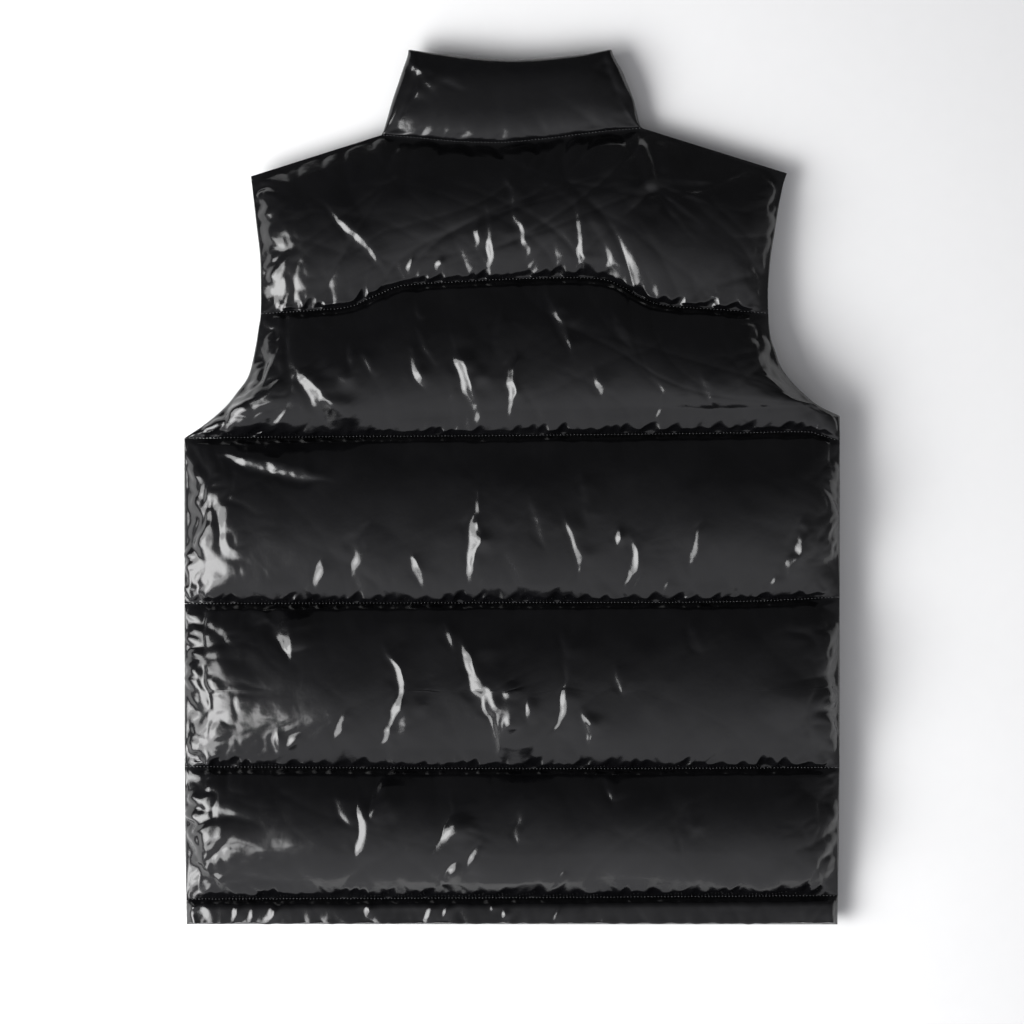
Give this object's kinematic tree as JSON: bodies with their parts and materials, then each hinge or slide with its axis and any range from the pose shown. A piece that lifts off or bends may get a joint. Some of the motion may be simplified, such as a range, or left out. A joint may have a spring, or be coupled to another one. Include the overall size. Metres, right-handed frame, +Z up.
{
  "type": "puffer vest",
  "caption": "Glossy black quilted puffer vest laid flat, back up: stand collar, curved back yoke, wide horizontal channels, narrow hem channel and closed front zip with pull tab.",
  "frame": {"origin": "centre of the bounding box's underside, on the surface that the vest lies on", "axes": "+X towards the wearer's right, +Y from the hem to the collar, +Z up, out of the back of the vest"},
  "size_m": [0.5596, 0.7464, 0.0597],
  "materials": {
    "shell": "high-gloss black coated nylon, very smooth, fine plain weave",
    "zip_tape": "matt black woven tape",
    "zip_teeth": "satin black moulded teeth",
    "zip_metal": "satin black lacquer over die-cast zinc"
  },
  "bodies": {
    "vest": {"back_yoke": "shell", "back_channel_1": "shell", "back_channel_2": "shell", "back_channel_3": "shell", "back_channel_4": "shell", "back_hem": "shell", "front_left_yoke": "shell", "front_left_channel_1": "shell", "front_left_channel_2": "shell", "front_left_channel_3": "shell", "front_left_channel_4": "shell", "front_left_hem": "shell", "front_right_yoke": "shell", "front_right_channel_1": "shell", "front_right_channel_2": "shell", "front_right_channel_3": "shell", "front_right_channel_4": "shell", "front_right_hem": "shell", "collar": "shell", "zip_tape_left": "zip_tape", "zip_tape_right": "zip_tape", "zip_teeth_left": "zip_teeth", "zip_teeth_right": "zip_teeth", "zip_slider": "zip_metal", "zip_retainer": "zip_teeth"},
    "pull": {"zip_pull": "zip_metal"}
  },
  "joints": [
    {"name": "pull_swing", "type": "hinge", "parent": "vest", "child": "pull", "pos_m": [0, 0.294, 0.008], "axis": [1, 0, 0], "range_deg": [-10, 155]}
  ]
}
